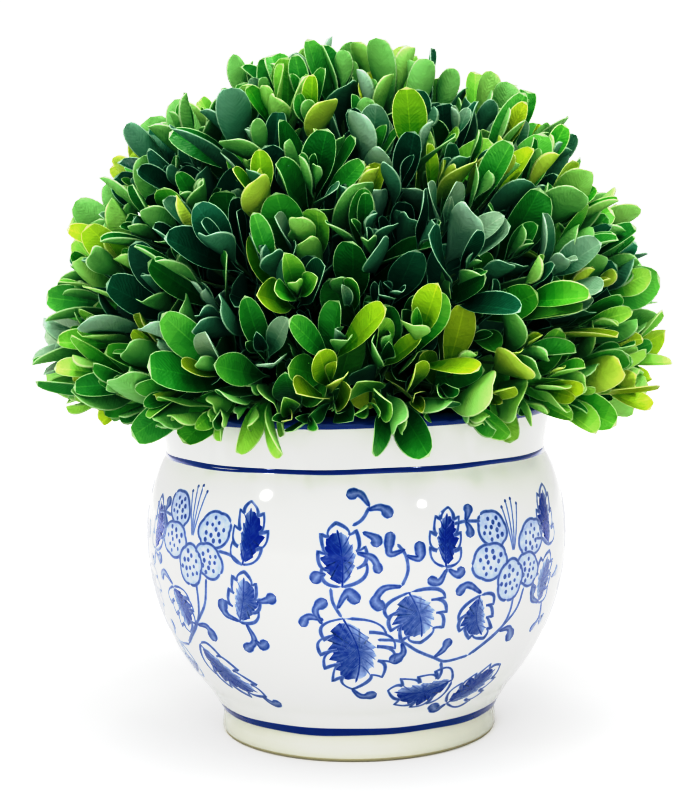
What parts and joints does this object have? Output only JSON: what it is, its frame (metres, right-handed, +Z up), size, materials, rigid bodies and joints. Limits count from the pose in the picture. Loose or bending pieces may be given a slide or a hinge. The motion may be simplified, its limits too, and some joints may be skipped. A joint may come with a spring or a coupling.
{
  "type": "potted box topiary ball",
  "caption": "Clipped ball of small box leaves standing in a round glazed pot with a flared collar, painted scrolls and a flat foot ring.",
  "frame": {"origin": "centre of the pot's underside, on the surface that it stands on", "axes": "+Z up along the pot's axis; -Y is the pictured front and +X is the viewer's right"},
  "size_m": [0.2218, 0.2218, 0.2491],
  "materials": {
    "glazed_pot": "glossy white glaze with cobalt painting",
    "dry_fill": "dry fibrous packing",
    "stem_wood": "rough bark",
    "foliage": "satin leaves"
  },
  "bodies": {
    "root": {"pot": "glazed_pot", "pot_fill": "dry_fill", "stem": "stem_wood", "foliage_ball": "foliage"}
  },
  "joints": []
}
